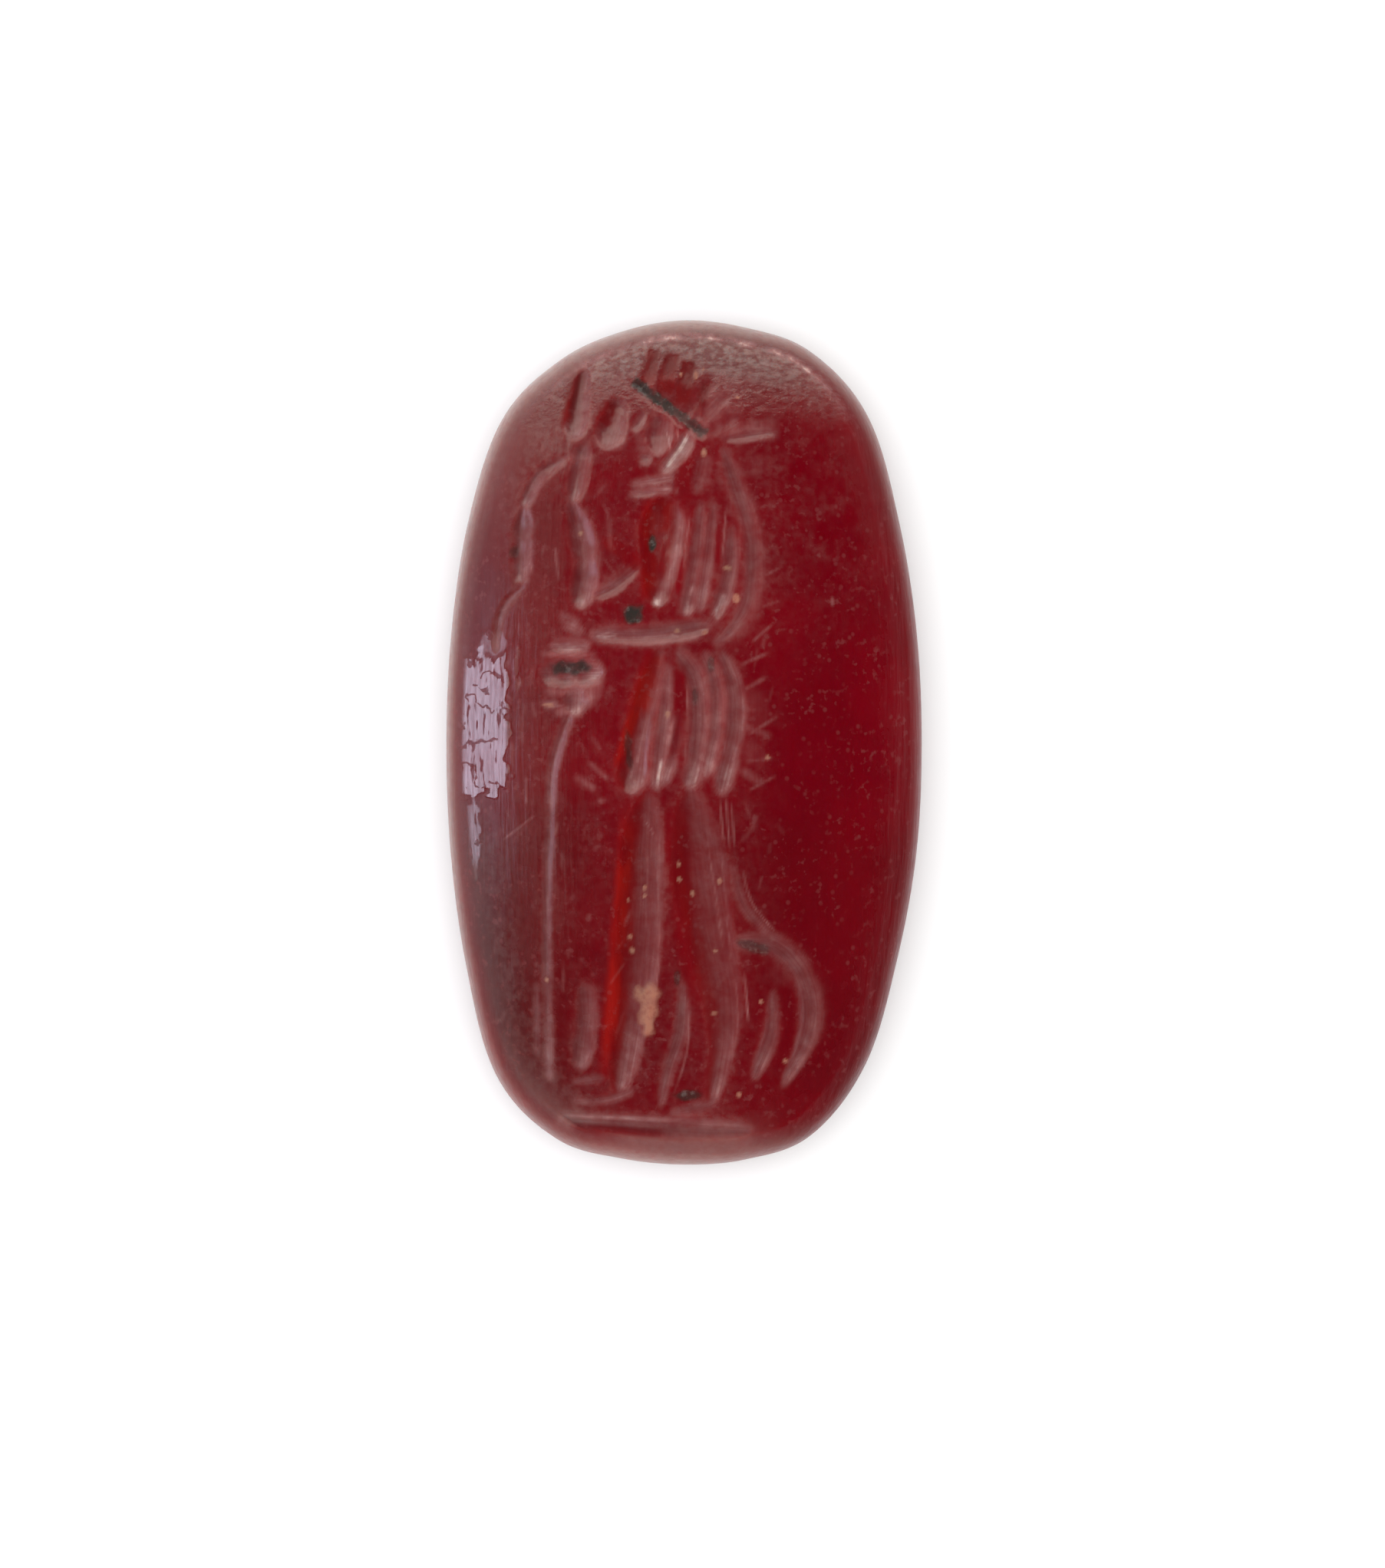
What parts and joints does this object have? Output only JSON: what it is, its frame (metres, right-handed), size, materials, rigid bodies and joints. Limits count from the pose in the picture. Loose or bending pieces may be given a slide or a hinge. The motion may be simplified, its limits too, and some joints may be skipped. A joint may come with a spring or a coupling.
{
  "type": "engraved gem",
  "caption": "Long oval domed ringstone of deep red carnelian, cut with a standing helmeted warrior in profile, with a flat back.",
  "frame": {"origin": "centre of the flat back, under the middle of the stone", "axes": "+Z from the flat back to the crown of the engraved face, +Y along the stone towards the figure's head, +X to the figure's back"},
  "size_m": [0.0112, 0.02, 0.004],
  "materials": {
    "carnelian": "translucent deep red stone, polished but worn and scratched on the dome, matt inside the cuts"
  },
  "bodies": {
    "root": {"engraved_gem": "carnelian"}
  },
  "joints": []
}
